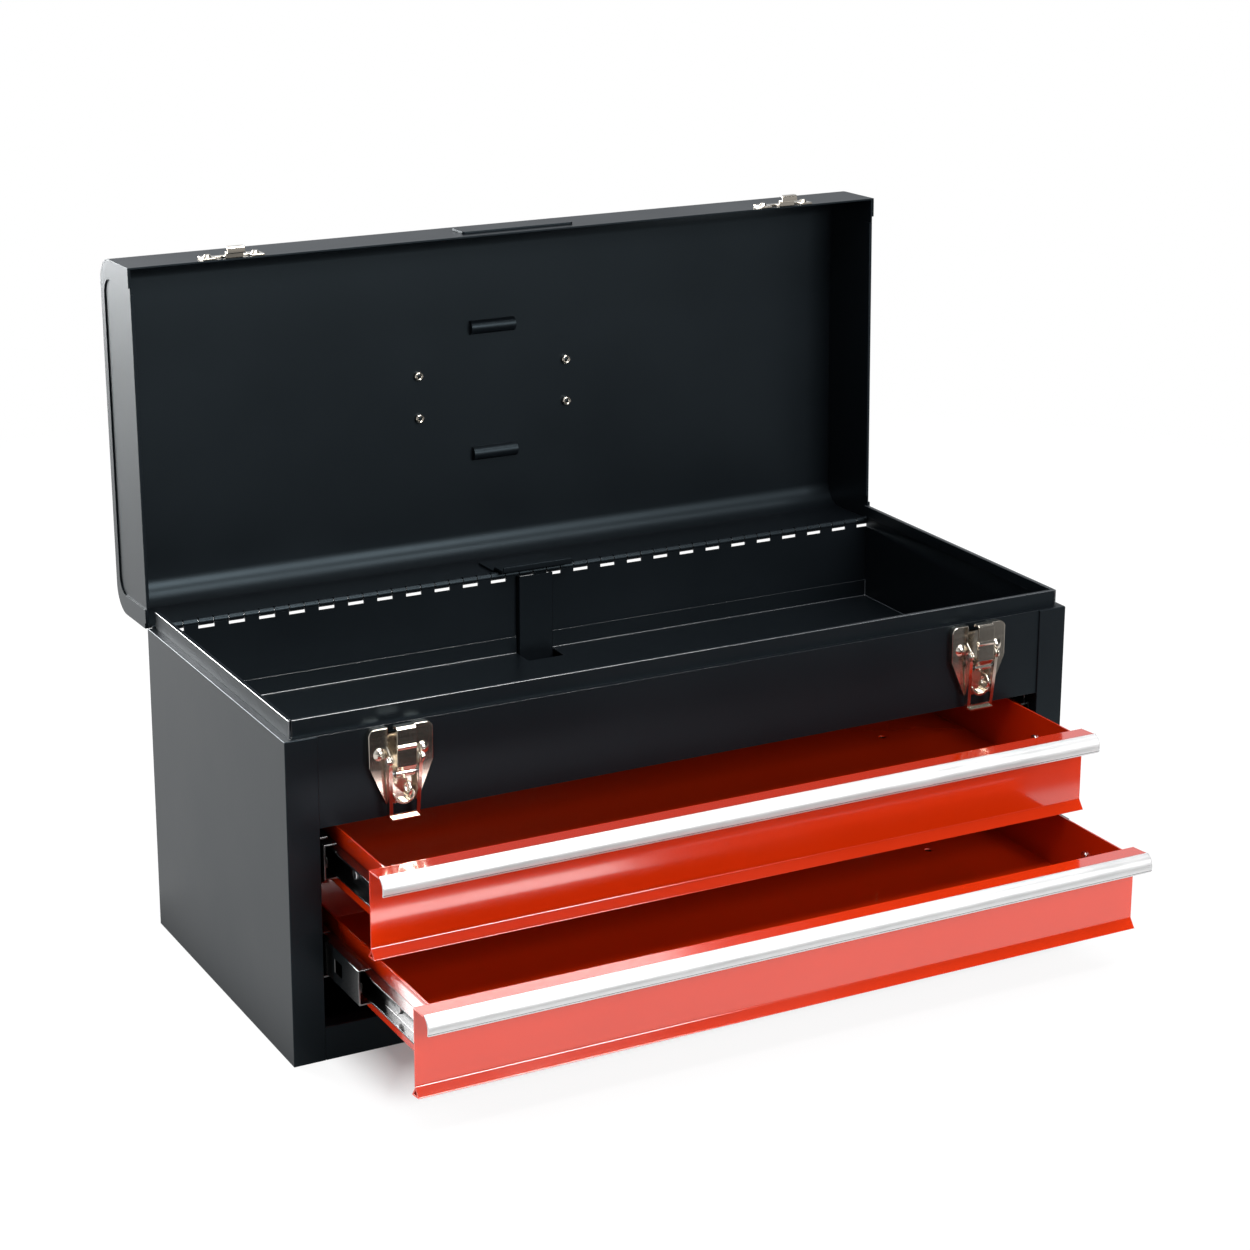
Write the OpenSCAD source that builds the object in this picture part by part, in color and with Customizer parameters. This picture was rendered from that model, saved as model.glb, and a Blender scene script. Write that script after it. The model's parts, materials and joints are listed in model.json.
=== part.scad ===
// Portable steel tool box with a lift-up lid, a tote tray and two drawers on
// ball-bearing slides. The origin is the middle of the base, +X along the box,
// +Y to the hinge side, +Z up. The lid stands open and both drawers are out.

/* [Body] */
// Outside width of the body
body_w = 510; // [470:1:560]
// Outside depth of the body
body_d = 218; // [210:1:240]
// Height of the body at its top ledge
body_h = 190; // [188:1:205]
// Thickness of the sheet steel
sheet = 1; // [0.8:0.1:1.2]
// Width of each front post
post_w = 19; // [18:0.5:24]
// Height of the sill under the drawers
sill_h = 20; // [16:1:22]
// Height of the drawer opening
opening_h = 117; // [116:1:120]
// Width of the top ledge, outside the tray rim
ledge_w = 4.4; // [4:0.1:6]
// Height of the tray rim above the ledge
rim_h = 10; // [8:0.5:14]
// Height of the turned-up strip at the back of the tray floor
tray_strip_h = 11; // [8:0.5:16]
// Depth of the folded seams and hems behind the front
hem_w = 10; // [8:0.5:12]

/* [Hinge] */
// Diameter of the hinge pin
pin_d = 3; // [2.6:0.1:3.4]
// Radial clearance of a pin in its bore
pin_gap = 0.05; // [0.03:0.01:0.08]
// Number of knuckle pairs along the hinge
knuckle_pairs = 26; // [20:1:30]
// Gap between neighbouring knuckles
knuckle_gap = 0.7; // [0.5:0.1:1]
// Distance from each end of the box to the knuckle row
hinge_margin = 2.6; // [2.5:0.1:4]
// Height of the hinge axis under the ledge
hinge_drop = 1; // [0.8:0.1:1.4]
// Angle of the lid from closed, as it stands
lid_open = 91.4; // [88:0.2:100]

/* [Lid] */
// Height of the lid's top above the hinge axis
lid_top = 52.5; // [48:0.5:60]
// Distance the closed lid stands back from the front
lid_setback = 2.4; // [2:0.1:2.6]
// Outer radius of the lid's long bends
lid_r = 16; // [12:1:18]
// Gap between the closed lid and the ledge
lid_gap = 0.4; // [0.3:0.1:0.6]
// Width of the border folded over the end panels, front and back
border_w = 12; // [10:0.5:14]
// Width of that border along the top
border_top = 6; // [5:0.5:8]
// Length of each pressed finger recess
rib_l = 31; // [24:1:36]
// Radius of each finger recess
rib_r = 4.5; // [3.5:0.5:6]
// Length of the blank badge plate
badge_l = 76; // [60:1:90]
// Width of the blank badge plate
badge_w = 17; // [12:1:20]

/* [Carrying handle] */
// Distance between the two handle brackets
bracket_pitch = 104; // [96:1:116]
// Distance between the two rivets of a bracket
bracket_rivets = 27.4; // [24:0.2:32]
// Length of a bracket plate
bracket_l = 40; // [38:1:46]
// Width of a bracket plate
bracket_w = 15; // [12:1:16]
// Diameter of the handle rod
rod_d = 6; // [5:0.5:7]
// Reach of the handle from its pivot to the grip
handle_reach = 41; // [38:1:44]
// Diameter of the grip
grip_d = 18; // [16:0.5:20]
// Gap between each end of the grip and the handle's bend
grip_end_gap = 1.5; // [1:0.5:8]

/* [Drawers] */
// How far the upper drawer stands out
upper_out = 54.5; // [20:0.5:80]
// How far the lower drawer stands out
lower_out = 109; // [90:0.5:130]
// Distance from the opening's top to the upper drawer's top edge
drawer_drop = 4.6; // [4:0.1:6]
// Distance between the two drawers' top edges
drawer_pitch = 55.8; // [54:0.2:58]
// Gap between a drawer front and a post
front_gap = 5.4; // [4.5:0.1:6]
// Height of the flat drawer front
front_h = 44.5; // [43:0.1:46]
// Depth of the shelf at the top of a drawer front
shelf_d = 12; // [11:0.5:13]
// Height of the pull strip
pull_h = 11; // [10:0.1:12]
// How far the pull strip's foot stands forward of its top
pull_bulge = 4.3; // [3.5:0.1:5]
// Thickness of the pull strip
pull_t = 1.4; // [1.2:0.1:1.6]
// How far the lip under a drawer front flares out
lip_out = 4.2; // [4:0.1:5]
// How far its folded foot reaches back behind the drawer front
lip_back = 4.6; // [4:0.1:5]
// Height of that lip
lip_h = 5.6; // [5:0.1:6.4]
// Gap between a shut drawer's box and the back panel
box_gap = 20; // [19.5:0.5:26]
// Height of a drawer box
box_h = 34.9; // [33:0.1:36]

/* [Slides] */
// Thickness of a slide, from bracket to drawer
slide_t = 13; // [12.7:0.1:13.4]
// Height of a cabinet rail
rail_h = 27; // [26:0.1:27.5]
// Sheet thickness of the slides
rail_s = 1; // [0.9:0.1:1.1]
// Diameter of the slide balls
ball_d = 2; // [1.8:0.1:2.2]
// Clearance between a ball and its track
ball_gap = 0.1; // [0.08:0.01:0.12]
// How much shorter a cabinet rail is than the body
rail_short = 28; // [26:1:40]
// How much shorter a middle rail is than a cabinet rail
mid_short = 25; // [24:1:40]
// How much shorter a drawer rail is than a cabinet rail
inner_short = 5; // [2:1:15]
// How far the upper middle rail stands out
upper_mid_out = 10.2; // [5:0.1:14]
// How far the lower middle rail stands out
lower_mid_out = 54.5; // [45:0.5:60]
// Distance of a rail's front screw behind the drawer front
screw_in = 34.5; // [30:0.5:40]

/* [Latches] */
// Distance from each end of the box to the middle of a latch
latch_in = 66; // [60:1:100]
// Width of a latch base
latch_w = 38; // [36:0.5:40]
// How far a latch base stands out from the fascia
latch_d = 4.6; // [4.2:0.1:4.8]
// Height of the wide part of a latch base
latch_top_h = 21.5; // [20:0.5:23]
// Whole height of a latch base
latch_h = 44; // [43:0.5:45]
// Distance of a latch's top edge under the ledge
latch_drop = 0.4; // [0.3:0.1:1]
// Thickness of the latch plates
latch_t = 1.2; // [1:0.1:1.4]
// Height of the lever's pivot under the ledge
lever_drop = 18; // [17.8:0.1:18.4]
// Distance from the lever's pivot to its foot
lever_l = 34.4; // [33.6:0.2:35]
// Width of a latch lever at its pivot
lever_w = 20.3; // [20:0.1:20.8]
// Width of a latch lever at its foot
lever_foot_w = 17.9; // [17.6:0.1:18.6]
// Angle of a shut lever, its foot leaning in towards the box
lever_tilt = 5; // [4:0.1:5.2]
// Radius of the padlock hole
padlock_r = 2.6; // [2.2:0.1:2.8]

/* [Drawer lock] */
// Width of the lock bar
bar_w = 23.6; // [20:0.2:24]
// Depth of the lock bar
bar_d = 4.2; // [4:0.1:4.6]
// Travel of the lock bar as the lid closes
bar_travel = 10; // [9.5:0.1:10]
// Width of the plate on the lid that works the lock bar
push_w = 48; // [40:1:52]
// Reach of that plate past the hinge axis
push_l = 10; // [9.5:0.1:10.4]

/* [Hidden] */
$fn = 48;

LEFT = -1;
RIGHT = 1;
eps = 0.01;
half_w = body_w / 2;
front_y = -body_d / 2;
back_y = body_d / 2;
opening_top = sill_h + opening_h;
half_opening = half_w - post_w;

// Tray: the rim stands inside the ledge, the floor closes the top of the drawer bay
rim_x = half_w - ledge_w;
rim_y = front_y + ledge_w;
rim_top = body_h + rim_h;
rim_hem_h = 7;
rim_hem_t = 2.4;
floor_z = opening_top;
notch_x = bar_w / 2 + 0.8;
notch_d = 18.5;

// Hinge: the body's knuckles roll out of the back panel
knuckle_r = pin_d / 2 + pin_gap + sheet;
hinge_set = 0.1;
hinge_y = back_y - sheet + knuckle_r - hinge_set;
hinge_z = body_h - hinge_drop;
knuckle_pitch = (body_w - 2 * hinge_margin) / knuckle_pairs;
knuckle_l = knuckle_pitch / 2 - knuckle_gap;
knuckle_slot_h = 3.9;
leaf_gap = 0.45;
hinge_clear = 0.3;
end_back = hinge_y - knuckle_r - hinge_clear;

// Lid, in its own frame: the hinge axis is the origin, -Y runs to the front, +Z is outwards
lid_l = hinge_y - (front_y + lid_setback);
lid_bottom = hinge_drop + lid_gap;
lid_mid = lid_l / 2;
lid_hem_h = 6;

// Handle
pivot_h = 5.2;
grip_rest_gap = 0.5;
fold_angle = asin((grip_d / 2 + grip_rest_gap - pivot_h) / handle_reach);
bail_x = (bracket_pitch - bracket_w) / 2 - rod_d / 2 - 1;
grip_l = 2 * (bail_x - rod_d / 2 - grip_end_gap);
rivet_r = 2.8;
rivet_shank = 2;
striker_rivet_x = 15;
striker_foot = 4;

// Drawers, at rest: heights of the two top edges
upper_top = opening_top - drawer_drop;
lower_top = upper_top - drawer_pitch;
front_x = half_opening - front_gap;
rail_x = half_opening - 0.5;
box_x = rail_x - slide_t;
shelf_rise = 1;
box_back = back_y - sheet - box_gap;
lip_core = 0.5;
drain_r = 2.5;
drain_in = 120.5;
drain_side = 54.5;

// Pull strip: a shallow arc standing on the front of a drawer's shelf
pull_r = 8;
pull_chord = sqrt(pull_h * pull_h + pull_bulge * pull_bulge);
pull_half = asin(pull_chord / 2 / pull_r);
pull_tilt = atan2(pull_h, pull_bulge);
pull_a0 = pull_tilt - pull_half;
pull_a1 = pull_tilt + pull_half;
pull_cy = -shelf_d - 0.02 + (pull_r - pull_t) * sin(pull_a0);
pull_cz = shelf_rise + 0.6 - pull_r * cos(pull_a0);

// Slides: the three rails and the balls between them
mid_h = rail_h - 2 * (rail_s + ball_d + 2 * ball_gap);
inner_h = mid_h - 2 * (rail_s + ball_d + 2 * ball_gap);
rail_centre = box_h / 2 - 1;
rail_l = body_d - rail_short;
mid_l = rail_l - mid_short;
inner_l = rail_l - inner_short;
rail_in = 6;
mid_in = 12.2;
rail_front = front_y + rail_in;
mid_front = front_y + mid_in;
inner_front = front_y + sheet + 0.5;
mid_window_in = 23;
mid_window_l = 10;
hole_in = 40;
hole_pitch = 50;
hole_r = 6;
inner_depth = 6;
mid_web_gap = 1.2;
mid_depth = 8;
rail_depth = 6.5;
inner_ball_x = box_x + 4.6;
outer_ball_x = rail_x - 4.6;
cage_t = 0.8;
cage_l = 60;
inner_cage_in = 57;
outer_cage_in = 52;
balls = 5;
screw_r = 1.8;
screw_head_r = 3;
screw_pitch = 120;

// Latches, measured outwards from the face of the fascia
fascia_y = front_y + sheet;
latch_x = half_w - latch_in;
latch_top = body_h - latch_drop;
latch_low = latch_top - latch_h;
latch_low_w = 18.6;
latch_corner_r = 4;
latch_notch_w = 15.2;
latch_notch_h = 4;
lever_z = body_h - lever_drop;
lever_o = 9;
lever_r = 3.2;
lever_face = 1.78;
lever_wall = 1.8;
lever_rail = 2;
lever_foot_h = 3;
lever_lip = 2.2;
latch_rivet_x = 12.7;
latch_rivet_r = 3.8;
latch_dome = 2.2;
latch_rivet_up = 3;
latch_shank_r = 1.8;
latch_rivet_z = lever_z + latch_rivet_up;
claw_drop = 8;
claw_z = lever_z - claw_drop;
claw_o = lever_o - 1;
claw_w = 11.2;
claw_pin_r = 1.2;
claw_face = 12.4;
claw_plate_z = lever_z - 3.2;
claw_roll_z = lever_z + 8;
claw_roll_r = 1.6;
claw_top = body_h + 1.5;
arm_t = 1;
arm_x = lever_w / 2 - arm_t;
ear_t = 1;
ear_x = arm_x - 0.4 - ear_t;
ear_r = 2.8;
ear_gap = 0.5;
pivot_r = 1.5;
hook_w = 11;
hook_lip = 6.1;
eye_drop = 15.5;
eye_z = lever_z - eye_drop;
eye_o = 12.2;
eye_r = padlock_r + 2;
eye_t = 1.8;
lobe_r = 6.5;
lobe_d = 8.4;

// Drawer lock
bar_front = back_y - sheet - 0.2 - bar_d;
bar_top = hinge_z - 0.7;
bar_low = 34;
tab_w = 12;
tab_gap = 5.6;
tab_d = bar_front - box_back - tab_gap;
tab_lip_h = 5;
tab_z = 14;
guide_t = 1;
guide_gap = 0.2;
guide_h = 10;
guide_up = 8;
guide_foot = 8;
push_t = 1.5;
push_tail = 28;
push_jog = knuckle_r + 0.95;
tooth_t = 1.6;
tooth_gap = 2;
tooth_y = box_back + tab_d - sheet - tooth_t - tooth_gap;
spring_r = 3.6;
spring_wire = 1;
spring_turns = 9;

BLACK = "#2b2d30";
RED = "#c8170d";
ZINC = "#8f9498";
NICKEL = "#cfc9bf";
SILVER = "#dfe2e4";

// ---------- helpers ----------

// Extrudes a (y, z) outline along X
module along_x(x0, x1) {
    translate([x0, 0, 0]) rotate([90, 0, 90]) linear_extrude(x1 - x0) children();
}

// A box from its low corner to its high corner
module block(low, high) {
    translate(low) cube(high - low);
}

// Builds a right-hand piece on either side
module on_side(side) {
    if (side == LEFT) mirror([1, 0, 0]) children();
    else children();
}

module rod_x(x0, x1, r) {
    translate([x0, 0, 0]) rotate([0, 90, 0]) cylinder(h = x1 - x0, r = r);
}

// ---------- body ----------

module side_panel(side) {
    color(BLACK) on_side(side) {
        block([half_w - sheet, front_y, 0], [half_w, back_y, body_h]);
        block([half_opening, front_y, 0], [half_w, front_y + sheet, body_h]);
        block([half_opening, front_y, sill_h], [half_opening + sheet, front_y + sheet + hem_w, opening_top]);
        block([rim_x, front_y + 2 * sheet, body_h - sheet], [half_w, end_back, body_h]);
        block([half_w - hem_w - sheet, back_y - 2 * sheet, sheet], [half_w, back_y - sheet, floor_z - sheet]);
        block([half_w - hem_w, front_y + sheet, sheet], [half_w, back_y - sheet, 2 * sheet]);
    }
}

module back_panel() {
    inner = half_w - sheet;
    slot_z = hinge_z - knuckle_slot_h;
    color(BLACK) difference() {
        union() {
            block([-inner, back_y - sheet, 0], [inner, back_y, slot_z]);
            for (i = [0 : knuckle_pairs - 1]) translate([knuckle_x(i), 0, 0]) {
                block([-knuckle_l / 2, back_y - sheet, slot_z - eps],
                    [knuckle_l / 2, back_y, hinge_z - sheet]);
                translate([0, hinge_y, hinge_z]) rod_x(-knuckle_l / 2, knuckle_l / 2, knuckle_r);
            }
        }
        translate([0, hinge_y, hinge_z]) rod_x(-half_w, half_w, pin_d / 2 + pin_gap);
    }
}

// Middle of the body's knuckle in pair i
function knuckle_x(i) = -half_w + hinge_margin + knuckle_pitch * (i + 0.25);

module bottom_panel() {
    color(BLACK) block([-half_w + sheet, front_y + sheet, 0], [half_w - sheet, back_y - sheet, sheet]);
}

module front_sill() {
    color(BLACK) {
        block([-half_opening, front_y, 0], [half_opening, front_y + sheet, sill_h]);
        block([-half_opening, front_y, sill_h - sheet], [half_opening, front_y + sheet + hem_w, sill_h]);
        for (side = [LEFT, RIGHT]) on_side(side)
            block([half_opening - hem_w, front_y + sheet, 2 * sheet],
                [half_w - hem_w - sheet, front_y + 2 * sheet, sill_h - 2 * sheet]);
    }
}

module fascia() {
    color(BLACK) difference() {
        union() {
            block([-half_w + sheet, fascia_y, opening_top], [half_w - sheet, fascia_y + sheet, body_h]);
            block([-rim_x, fascia_y, body_h - sheet], [rim_x, rim_y, body_h]);
            block([-half_opening, fascia_y, opening_top], [half_opening, rim_y, opening_top + sheet]);
        }
        at_latch_rivets() cylinder(h = 3 * sheet, r = latch_shank_r + pin_gap, center = true);
    }
}

// Places children at each latch rivet, with Z pointing out of the fascia
module at_latch_rivets() {
    for (side = [LEFT, RIGHT], s = [-1, 1])
        translate([side * latch_x + s * latch_rivet_x, fascia_y, latch_rivet_z])
            rotate([90, 0, 0]) children();
}

module tote_tray() {
    inner_back = back_y - sheet;
    color(BLACK) difference() {
        union() {
            block([-rim_x, rim_y, floor_z - sheet], [rim_x, inner_back, floor_z]);
            block([-rim_x, rim_y, floor_z - sheet], [rim_x, rim_y + sheet, rim_top]);
            block([-rim_x + rim_hem_t, rim_y, rim_top - rim_hem_h],
                [rim_x - rim_hem_t, rim_y + rim_hem_t, rim_top]);
            block([-rim_x, inner_back - sheet, floor_z - sheet],
                [rim_x, inner_back, floor_z + tray_strip_h]);
            for (side = [LEFT, RIGHT]) on_side(side) {
                block([rim_x - sheet, rim_y, floor_z - sheet], [rim_x, end_back, rim_top]);
                block([rim_x - rim_hem_t, rim_y, rim_top - rim_hem_h], [rim_x, end_back, rim_top]);
            }
        }
        block([-notch_x, inner_back - notch_d, floor_z - 2 * sheet],
            [notch_x, back_y, floor_z + tray_strip_h + 1]);
        // Open seam at each front corner of the rim
        for (side = [LEFT, RIGHT]) on_side(side)
            block([rim_x - sheet - 0.8, rim_y - 1, body_h + 0.4],
                [rim_x - sheet, rim_y + rim_hem_t, rim_top + 1]);
    }
}

module slide_bracket(side) {
    face = rail_x + rail_s;
    y0 = front_y + sheet + hem_w + 1;
    y1 = back_y - 12;
    z0 = sill_h + 4;
    z1 = floor_z - 3;
    foot = 12;
    wall = half_w - sheet;
    color(ZINC) on_side(side) {
        difference() {
            block([rail_x, y0, z0], [face, y1, z1]);
            // Lightening holes between the rails and above them
            for (y = [y0 + hole_in : hole_pitch : y1 - hole_in + hole_r])
                translate([rail_x - 1, y, (upper_top + lower_top - box_h) / 2]) rod_x(0, sheet + 2, hole_r);
        }
        for (y = [y0, y1 - rail_s]) block([rail_x, y, z0], [wall, y + rail_s, z1]);
        block([wall - rail_s, y0, z0], [wall, y0 + foot, z1]);
        block([wall - rail_s, y1 - foot, z0], [wall, y1, z1]);
    }
}

// ---------- hinge ----------

module hinge_pin() {
    reach = half_w - hinge_margin - 0.2;
    color(SILVER) translate([0, hinge_y, hinge_z]) rod_x(-reach, reach, pin_d / 2);
}

// ---------- slides ----------

// A channel that opens sideways: web from x0 to x0 + rail_s, lips dir * depth long
module channel(x_web, dir, depth, h, z, y0, y1) {
    lip0 = dir > 0 ? x_web : x_web - depth;
    lip1 = dir > 0 ? x_web + depth : x_web;
    web0 = dir > 0 ? x_web : x_web - rail_s;
    block([web0, y0, z - h / 2], [web0 + rail_s, y1, z + h / 2]);
    for (s = [-1, 1])
        block([lip0, y0, z + s * (h / 2 - rail_s / 2) - rail_s / 2],
            [lip1, y1, z + s * (h / 2 - rail_s / 2) + rail_s / 2]);
}

function slide_z(top) = top - rail_centre;

module cabinet_rail(side, top) {
    color(ZINC) on_side(side)
        channel(rail_x, -1, rail_depth, rail_h, slide_z(top), rail_front, rail_front + rail_l);
}

module middle_rail(side, top, out) {
    web = rail_x - rail_s - mid_web_gap;
    y0 = mid_front - out;
    color(ZINC) on_side(side) difference() {
        union() {
            channel(web, -1, mid_depth, mid_h, slide_z(top), y0, y0 + mid_l);
            // End stop turned in at the front of the web
            block([web - rail_s - 1.2, y0, slide_z(top) - 3], [web - rail_s, y0 + 1.2, slide_z(top) + 3]);
        }
        block([web - 2, y0 + mid_window_in, slide_z(top) - 4],
            [web + 1, y0 + mid_window_in + mid_window_l, slide_z(top) + 4]);
    }
}

module drawer_rail(side, top, out) {
    y0 = inner_front - out;
    color(ZINC) on_side(side) difference() {
        channel(box_x, 1, inner_depth, inner_h, slide_z(top), y0, y0 + inner_l);
        for (n = [0, 1])
            translate([box_x - 1, front_y - out + screw_in + n * screw_pitch, slide_z(top)])
                rod_x(0, rail_s + 2, screw_r + pin_gap);
    }
}

module drawer_screws(top, out) {
    color(SILVER) for (side = [LEFT, RIGHT], n = [0, 1]) on_side(side)
        translate([box_x, front_y - out + screw_in + n * screw_pitch, slide_z(top)]) {
            rod_x(-sheet - 1.4, rail_s + 1.5, screw_r);
            rod_x(-sheet - 1.4, -sheet, screw_head_r);
            rod_x(rail_s, rail_s + 1.5, screw_head_r);
        }
}

// Balls in their two cages, above and below a rail, on both sides of a drawer
module ball_row(top, x, h, y0) {
    color(SILVER) for (side = [LEFT, RIGHT], s = [-1, 1]) on_side(side)
        translate([x, y0, slide_z(top) + s * (h / 2 + ball_gap + ball_d / 2)]) {
            for (i = [0 : balls - 1])
                translate([0, cage_l * (i + 0.5) / balls, 0]) sphere(d = ball_d);
            block([-ball_d / 2 + 0.2, 0, -cage_t / 2], [ball_d / 2 - 0.2, cage_l, cage_t / 2]);
        }
}

module inner_balls(top, out, mid_out) {
    ball_row(top, inner_ball_x, inner_h, mid_front + inner_cage_in - (out + mid_out) / 2);
}

module outer_balls(top, mid_out) {
    ball_row(top, outer_ball_x, mid_h, mid_front + outer_cage_in - mid_out / 2);
}

// ---------- drawers ----------

module drawer_box(top, out) {
    y0 = front_y + sheet;
    z0 = top - box_h;
    color(RED) translate([0, -out, 0]) difference() {
        union() {
            block([-box_x, y0, z0], [box_x, box_back, z0 + sheet]);
            block([-box_x, box_back - sheet, z0], [box_x, box_back, top]);
            for (side = [LEFT, RIGHT]) on_side(side)
                block([box_x - sheet, y0, z0], [box_x, box_back, top]);
            // Catch for the lock bar's tooth
            block([-tab_w / 2, box_back - sheet, z0 + tab_z],
                [tab_w / 2, box_back + tab_d, z0 + tab_z + sheet]);
            block([-tab_w / 2, box_back + tab_d - sheet, z0 + tab_z],
                [tab_w / 2, box_back + tab_d, z0 + tab_z + tab_lip_h]);
        }
        for (side = [LEFT, RIGHT], n = [0, 1]) on_side(side)
            translate([box_x - sheet - 1, front_y + screw_in + n * screw_pitch, slide_z(top)])
                rod_x(0, sheet + 2, screw_r + pin_gap);
        // Drain hole in the floor
        translate([box_x - drain_side, front_y + drain_in, z0])
            cylinder(h = 3 * sheet, r = drain_r, center = true);
    }
}

// The folded lip under a drawer front, as a triangle scaled about its own middle
function lip_points(share) =
    let (p = [[0, -front_h], [-lip_out, -front_h - lip_h], [lip_back, -front_h - lip_h - 0.9]],
        c = (p[0] + p[1] + p[2]) / 3)
    [for (q = p) c + (q - c) * share];

// Section of a drawer front: y runs backwards from the front plane, z up from the top edge
module front_section() {
    difference() {
        union() {
            polygon([
                [sheet, 0], [0, 0], [-shelf_d, shelf_rise - 0.2], [-shelf_d, shelf_rise - 0.2 - sheet],
                [0, -sheet], [0, -front_h], [0.4, -front_h - 1.4], [sheet, -front_h - 1]
            ]);
            polygon(lip_points(1));
        }
        polygon(lip_points(lip_core));
    }
}

module drawer_front(top, out) {
    color(RED) translate([0, front_y - out, top]) along_x(-front_x, front_x) front_section();
}

// Points along the pull strip's round face, from its top edge to its foot
function pull_arc(steps, t) = [for (i = [0 : steps])
    let (a = pull_a0 + (pull_a1 - pull_a0) * i / steps)
    [pull_cy - (pull_r - t) * sin(a), pull_cz + (pull_r - t) * cos(a)]];

module drawer_pull(top, out) {
    color(SILVER) translate([0, front_y - out, top])
        along_x(-front_x, front_x)
            polygon(concat(pull_arc(10, 0), [for (i = [10 : -1 : 0]) pull_arc(10, pull_t)[i]]));
}

// ---------- lid ----------

// Stands the lid's pieces up from their closed place
module lid_pose() {
    translate([0, hinge_y, hinge_z]) rotate([-lid_open, 0, 0]) children();
}

// Outline of the lid in (y, z), moved in by some distance, down to z0
module lid_outline(inset, z0) {
    y0 = -lid_l + inset;
    y1 = sheet / 2 - inset;
    z1 = lid_top - inset;
    r = lid_r - inset;
    translate([y0, z0]) square([y1 - y0, z1 - r - z0]);
    translate([y0 + r, z0]) square([y1 - y0 - 2 * r, z1 - z0]);
    for (y = [y0 + r, y1 - r]) translate([y, z1 - r]) circle(r);
}

module lid_shell() {
    inner = half_w - sheet;
    leaf_z = knuckle_r + leaf_gap;
    color(BLACK) lid_pose() difference() {
        union() {
            difference() {
                along_x(-half_w, half_w) lid_outline(0, lid_bottom);
                along_x(-inner, inner) lid_outline(sheet, -1);
                // The ends stay open inside their folded border
                along_x(-half_w - 1, half_w + 1) lid_window();
                // Only the hinge leaf reaches the axis at the back
                block([-half_w - 1, -knuckle_r - leaf_gap, -1], [half_w + 1, 1, leaf_z]);
            }
            for (i = [0 : knuckle_pairs - 1]) translate([knuckle_x(i) + knuckle_pitch / 2, 0, 0]) {
                rod_x(-knuckle_l / 2, knuckle_l / 2, knuckle_r);
                block([-knuckle_l / 2, -sheet / 2, 0], [knuckle_l / 2, sheet / 2, leaf_z + eps]);
            }
            for (s = [-1, 1]) translate([0, -lid_mid + s * handle_reach, lid_top - sheet]) rib(rib_r, rib_l);
        }
        rod_x(-half_w, half_w, pin_d / 2 + pin_gap);
        for (s = [-1, 1])
            translate([0, -lid_mid + s * handle_reach, lid_top]) rib(rib_r, rib_l - 2 * sheet);
        for (x = [-1, 1], s = [-1, 1])
            translate([x * bracket_pitch / 2, -lid_mid + s * bracket_rivets / 2, lid_top - 3])
                cylinder(h = 6, r = rivet_shank + pin_gap);
    }
}

// Pressed finger recess: the lower half of a round bar
module rib(r, l) {
    intersection() {
        rod_x(-l / 2, l / 2, r);
        block([-l, -2 * r, -2 * r], [l, 2 * r, 0]);
    }
}

// Opening in each end of the shell, inside its folded border
module lid_window() {
    y0 = border_w - lid_l;
    y1 = sheet / 2 - border_w;
    z1 = lid_top - border_top;
    r = lid_r - border_top;
    translate([y0, -2]) square([y1 - y0, z1 - r + 2]);
    translate([y0 + r, -2]) square([y1 - y0 - 2 * r, z1 + 2]);
    for (y = [y0 + r, y1 - r]) translate([y, z1 - r]) circle(r);
}

module lid_end(side) {
    x1 = half_w - sheet;
    x0 = x1 - sheet;
    color(BLACK) lid_pose() on_side(side) {
        along_x(x0, x1) difference() {
            lid_outline(sheet, lid_bottom);
            translate([-knuckle_r - leaf_gap, -1]) square([knuckle_r + 2, knuckle_r + leaf_gap + 1]);
        }
        block([x0 - sheet, -lid_l + lid_r, lid_bottom], [x0, -lid_r, lid_bottom + lid_hem_h]);
    }
}

module lid_rivets() {
    rivet_low = lid_top - sheet - 1.6;
    color(NICKEL) lid_pose() {
        for (x = [-1, 1], s = [-1, 1])
            translate([x * bracket_pitch / 2, -lid_mid + s * bracket_rivets / 2, 0]) {
                translate([0, 0, rivet_low]) cylinder(h = sheet + 1.6 + latch_t + 1, r = rivet_shank);
                translate([0, 0, rivet_low]) cylinder(h = 1.6, r = rivet_r);
                translate([0, 0, lid_top + latch_t]) cylinder(h = 1.2, r = rivet_r);
            }
        for (s = [-1, 1], x = [-1, 1])
            translate([s * latch_x + x * striker_rivet_x, -lid_l - latch_t, lid_bottom + 6])
                rotate([90, 0, 0]) cylinder(h = 1.4, r1 = 2.6, r2 = 1.6);
    }
}

// Plate with an upturned hook, riveted to the lid's front wall over a latch
module striker(side) {
    z0 = lid_bottom + 0.4;
    foot = 8;
    low = claw_top - hinge_z - 4;
    o = -(fascia_y - hinge_y);
    wall = -lid_l - latch_t;
    lip = -o - hook_lip;
    color(NICKEL) lid_pose() translate([side * latch_x, 0, 0]) {
        for (s = [-1, 1]) translate([s * striker_rivet_x, 0, 0])
            block([-striker_foot, wall, z0], [striker_foot, -lid_l, z0 + foot + 3]);
        block([-striker_rivet_x, wall, z0 + foot - 3], [striker_rivet_x, -lid_l, z0 + foot]);
        along_x(-hook_w / 2, hook_w / 2) polygon([
            [-lid_l, z0], [-lid_l, z0 + foot], [wall, z0 + foot], [wall, z0 + 1.2],
            [-o - 2.9, z0 + 1.2], [-o - 2.9, low + 1], [lip + 1, low + 1], [lip + 1, low + 4],
            [lip, low + 4], [lip, low + 0.7], [lip + 0.7, low], [-o - 1.9, low], [-o - 1.9, z0]
        ]);
    }
}

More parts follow.
